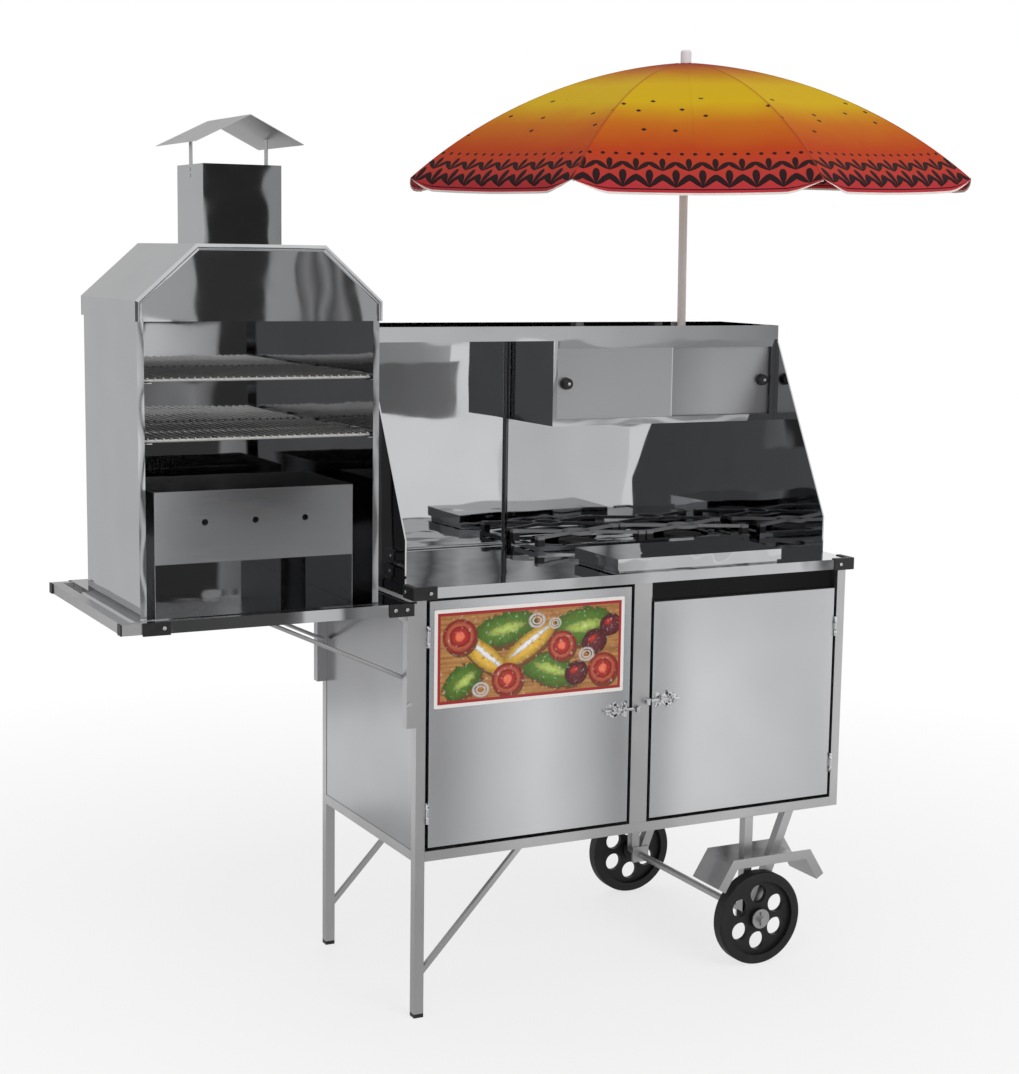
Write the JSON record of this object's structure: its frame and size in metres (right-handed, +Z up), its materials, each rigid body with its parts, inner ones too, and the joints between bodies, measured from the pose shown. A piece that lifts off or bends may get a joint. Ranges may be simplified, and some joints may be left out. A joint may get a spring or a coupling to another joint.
{
  "type": "hot dog cart",
  "caption": "Stainless street-food cart with a cabinet, worktop with griddle and burners, splash surround with locker, folding side shelf, charcoal grill and parasol.",
  "frame": {"origin": "on the floor under the middle of the whole outline", "axes": "+X along the cart from the side shelf to the wheels, +Y from the doors to the back, +Z up"},
  "size_m": [2.071, 1.2701, 1.9365],
  "materials": {
    "satin_steel": "satin",
    "polished_sheet": "polished, slightly wavy",
    "rack_wire": "plain wire",
    "black_plastic": "matte",
    "cast_iron": "rough",
    "wheel_rubber": "matte",
    "white_pole": "gloss white",
    "rib_steel": "white enamel",
    "canopy_fabric": "printed cloth, red at crown and hem, yellow between"
  },
  "bodies": {
    "cart": {"frame_tubes": "satin_steel", "foot_caps": "black_plastic", "cabinet_panels": "polished_sheet", "worktop": "polished_sheet", "worktop_corners": "black_plastic", "surround_sides": "polished_sheet", "surround_back": "polished_sheet", "roof_tray": "polished_sheet", "upper_locker": "polished_sheet", "axle": "satin_steel", "fenders": "satin_steel", "post_hardware": "satin_steel", "shelf_posts": "satin_steel", "pan_frame": "satin_steel", "cast_burners": "cast_iron", "pole_socket": "satin_steel"},
    "left_door": {"left_door": "polished_sheet", "left_bolt_plate": "satin_steel"},
    "right_door": {"right_door": "polished_sheet", "right_bolt_plate": "satin_steel"},
    "left_bolt": {"left_bolt": "satin_steel"},
    "right_bolt": {"right_bolt": "satin_steel"},
    "locker_door_left": {"locker_door_left": "polished_sheet", "locker_knob_left": "black_plastic"},
    "locker_door_right": {"locker_door_right": "polished_sheet", "locker_knob_right": "black_plastic"},
    "front_wheel": {"front_wheel": "wheel_rubber"},
    "rear_wheel": {"rear_wheel": "wheel_rubber"},
    "shelf": {"shelf_tray": "polished_sheet", "shelf_corners": "black_plastic", "handle_frame": "satin_steel"},
    "shelf_prop": {"shelf_prop": "satin_steel"},
    "grill": {"grill_body": "polished_sheet", "grill_hood": "polished_sheet", "chimney": "polished_sheet", "rain_cap": "satin_steel"},
    "upper_rack": {"upper_rack": "rack_wire"},
    "lower_rack": {"lower_rack": "rack_wire"},
    "charcoal_box": {"charcoal_box": "polished_sheet"},
    "griddle": {"griddle": "polished_sheet"},
    "lower_pole": {"lower_pole": "satin_steel"},
    "upper_pole": {"upper_pole": "white_pole", "canopy": "canopy_fabric"},
    "runner": {"runner": "white_pole"},
    "rib_1": {"rib_1": "rib_steel"},
    "stretcher_1": {"stretcher_1": "rib_steel"},
    "rib_2": {"rib_2": "rib_steel"},
    "stretcher_2": {"stretcher_2": "rib_steel"},
    "rib_3": {"rib_3": "rib_steel"},
    "stretcher_3": {"stretcher_3": "rib_steel"},
    "rib_4": {"rib_4": "rib_steel"},
    "stretcher_4": {"stretcher_4": "rib_steel"},
    "rib_5": {"rib_5": "rib_steel"},
    "stretcher_5": {"stretcher_5": "rib_steel"},
    "rib_6": {"rib_6": "rib_steel"},
    "stretcher_6": {"stretcher_6": "rib_steel"},
    "rib_7": {"rib_7": "rib_steel"},
    "stretcher_7": {"stretcher_7": "rib_steel"},
    "rib_8": {"rib_8": "rib_steel"},
    "stretcher_8": {"stretcher_8": "rib_steel"}
  },
  "joints": [
    {"name": "left_door_hinge", "type": "hinge", "parent": "cart", "child": "left_door", "pos_m": [-0.4341, -0.46297, 0.58], "axis": [0, 0, -1], "range_deg": [0, 110]},
    {"name": "right_door_hinge", "type": "hinge", "parent": "cart", "child": "right_door", "pos_m": [0.5189, -0.46297, 0.56], "axis": [0, 0, 1], "range_deg": [0, 110]},
    {"name": "left_bolt_slide", "type": "slide", "parent": "left_door", "child": "left_bolt", "axis": [1, 0, 0], "range_m": [0, 0.011]},
    {"name": "right_bolt_slide", "type": "slide", "parent": "right_door", "child": "right_bolt", "axis": [-1, 0, 0], "range_m": [0, 0.011]},
    {"name": "locker_left_slide", "type": "slide", "parent": "cart", "child": "locker_door_left", "axis": [1, 0, 0], "range_m": [0, 0.108]},
    {"name": "locker_right_slide", "type": "slide", "parent": "cart", "child": "locker_door_right", "axis": [-1, 0, 0], "range_m": [0, 0.108]},
    {"name": "front_wheel_spin", "type": "hinge", "parent": "cart", "child": "front_wheel", "pos_m": [0.3304, -0.47747, 0.1], "axis": [0, 1, 0], "continuous": true},
    {"name": "rear_wheel_spin", "type": "hinge", "parent": "cart", "child": "rear_wheel", "pos_m": [0.3304, 0.05553, 0.1], "axis": [0, 1, 0], "continuous": true},
    {"name": "shelf_fold", "type": "hinge", "parent": "cart", "child": "shelf", "pos_m": [-0.4831, -0.21947, 0.798], "axis": [0, -1, 0], "range_deg": [0, 90]},
    {"name": "prop_swing", "type": "hinge", "parent": "cart", "child": "shelf_prop", "pos_m": [-0.4676, -0.21947, 0.675], "axis": [0, -1, 0], "range_deg": [0, 114.79]},
    {"name": "grill_lift", "type": "slide", "parent": "cart", "child": "grill", "axis": [0, 0, 1], "range_m": [0, 0.3]},
    {"name": "upper_rack_slide", "type": "slide", "parent": "grill", "child": "upper_rack", "axis": [0, -1, 0], "range_m": [0, 0.3]},
    {"name": "lower_rack_slide", "type": "slide", "parent": "grill", "child": "lower_rack", "axis": [0, -1, 0], "range_m": [0, 0.3]},
    {"name": "charcoal_box_slide", "type": "slide", "parent": "grill", "child": "charcoal_box", "axis": [0, -1, 0], "range_m": [0, 0.25]},
    {"name": "griddle_lift", "type": "slide", "parent": "cart", "child": "griddle", "axis": [0, 0, 1], "range_m": [0, 0.1]},
    {"name": "parasol_lift", "type": "slide", "parent": "cart", "child": "lower_pole", "axis": [-0.0291, -0.0301, 0.9991], "range_m": [0, 0.45]},
    {"name": "parasol_turn", "type": "hinge", "parent": "lower_pole", "child": "upper_pole", "pos_m": [0.4104, 0.01053, 1.307], "axis": [-0.0291, -0.0301, 0.9991], "continuous": true},
    {"name": "runner_slide", "type": "slide", "parent": "upper_pole", "child": "runner", "axis": [0.0291, 0.0301, -0.9991], "range_m": [0, 0.20961], "deforming": ["canopy"]},
    {"name": "rib_1_hinge", "type": "hinge", "parent": "upper_pole", "child": "rib_1", "pos_m": [0.41704, -0.01016, 1.89771], "axis": [0.1197, 0.9923, 0.0334], "range_deg": [0, 27.01]},
    {"name": "stretcher_1_hinge", "type": "hinge", "parent": "runner", "child": "stretcher_1", "pos_m": [0.42051, -0.00053, 1.72795], "axis": [-0.1197, -0.9923, -0.0334], "range_deg": [0, 20.62]},
    {"name": "rib_2_hinge", "type": "hinge", "parent": "upper_pole", "child": "rib_2", "pos_m": [0.41209, 0.00753, 1.8981], "axis": [-0.6171, 0.7868, 0.0058], "range_deg": [0, 27.01]},
    {"name": "stretcher_2_hinge", "type": "hinge", "parent": "runner", "child": "stretcher_2", "pos_m": [0.41281, 0.0148, 1.72819], "axis": [0.6171, -0.7868, -0.0058], "range_deg": [0, 20.62]},
    {"name": "rib_3_hinge", "type": "hinge", "parent": "upper_pole", "child": "rib_3", "pos_m": [0.39609, 0.01655, 1.89791], "axis": [-0.9924, 0.1205, -0.0253], "range_deg": [0, 27.01]},
    {"name": "stretcher_3_hinge", "type": "hinge", "parent": "runner", "child": "stretcher_3", "pos_m": [0.39653, 0.02021, 1.72788], "axis": [0.9924, -0.1205, 0.0253], "range_deg": [0, 20.62]},
    {"name": "rib_4_hinge", "type": "hinge", "parent": "upper_pole", "child": "rib_4", "pos_m": [0.37841, 0.01162, 1.89724], "axis": [-0.7863, -0.6164, -0.0415], "range_deg": [0, 27.01]},
    {"name": "stretcher_4_hinge", "type": "hinge", "parent": "runner", "child": "stretcher_4", "pos_m": [0.38121, 0.01252, 1.7272], "axis": [0.7863, 0.6164, 0.0415], "range_deg": [0, 20.62]},
    {"name": "rib_5_hinge", "type": "hinge", "parent": "upper_pole", "child": "rib_5", "pos_m": [0.3694, -0.00437, 1.8965], "axis": [-0.1197, -0.9923, -0.0334], "range_deg": [0, 27.01]},
    {"name": "stretcher_5_hinge", "type": "hinge", "parent": "runner", "child": "stretcher_5", "pos_m": [0.37582, -0.00376, 1.72656], "axis": [0.1197, 0.9923, 0.0334], "range_deg": [0, 20.62]},
    {"name": "rib_6_hinge", "type": "hinge", "parent": "upper_pole", "child": "rib_6", "pos_m": [0.37435, -0.02206, 1.89611], "axis": [0.6171, -0.7868, -0.0058], "range_deg": [0, 27.01]},
    {"name": "stretcher_6_hinge", "type": "hinge", "parent": "runner", "child": "stretcher_6", "pos_m": [0.38352, -0.01909, 1.72632], "axis": [-0.6171, 0.7868, 0.0058], "range_deg": [0, 20.62]},
    {"name": "rib_7_hinge", "type": "hinge", "parent": "upper_pole", "child": "rib_7", "pos_m": [0.39035, -0.03108, 1.8963], "axis": [0.9924, -0.1205, 0.0253], "range_deg": [0, 27.01]},
    {"name": "stretcher_7_hinge", "type": "hinge", "parent": "runner", "child": "stretcher_7", "pos_m": [0.3998, -0.02449, 1.72663], "axis": [-0.9924, 0.1205, -0.0253], "range_deg": [0, 20.62]},
    {"name": "rib_8_hinge", "type": "hinge", "parent": "upper_pole", "child": "rib_8", "pos_m": [0.40803, -0.02615, 1.89697], "axis": [0.7863, 0.6164, 0.0415], "range_deg": [0, 27.01]},
    {"name": "stretcher_8_hinge", "type": "hinge", "parent": "runner", "child": "stretcher_8", "pos_m": [0.41512, -0.0168, 1.72731], "axis": [-0.7863, -0.6164, -0.0415], "range_deg": [0, 20.62]}
  ],
  "couplings": [
    {"joint": "prop_swing", "follows": "shelf_fold", "ratio": 1.2753},
    {"joint": "rib_1_hinge", "follows": "runner_slide", "rad_per_m": 2.2482},
    {"joint": "stretcher_1_hinge", "follows": "runner_slide", "rad_per_m": 1.7158},
    {"joint": "rib_2_hinge", "follows": "runner_slide", "rad_per_m": 2.2482},
    {"joint": "stretcher_2_hinge", "follows": "runner_slide", "rad_per_m": 1.7158},
    {"joint": "rib_3_hinge", "follows": "runner_slide", "rad_per_m": 2.2482},
    {"joint": "stretcher_3_hinge", "follows": "runner_slide", "rad_per_m": 1.7158},
    {"joint": "rib_4_hinge", "follows": "runner_slide", "rad_per_m": 2.2482},
    {"joint": "stretcher_4_hinge", "follows": "runner_slide", "rad_per_m": 1.7158},
    {"joint": "rib_5_hinge", "follows": "runner_slide", "rad_per_m": 2.2482},
    {"joint": "stretcher_5_hinge", "follows": "runner_slide", "rad_per_m": 1.7158},
    {"joint": "rib_6_hinge", "follows": "runner_slide", "rad_per_m": 2.2482},
    {"joint": "stretcher_6_hinge", "follows": "runner_slide", "rad_per_m": 1.7158},
    {"joint": "rib_7_hinge", "follows": "runner_slide", "rad_per_m": 2.2482},
    {"joint": "stretcher_7_hinge", "follows": "runner_slide", "rad_per_m": 1.7158},
    {"joint": "rib_8_hinge", "follows": "runner_slide", "rad_per_m": 2.2482},
    {"joint": "stretcher_8_hinge", "follows": "runner_slide", "rad_per_m": 1.7158}
  ]
}
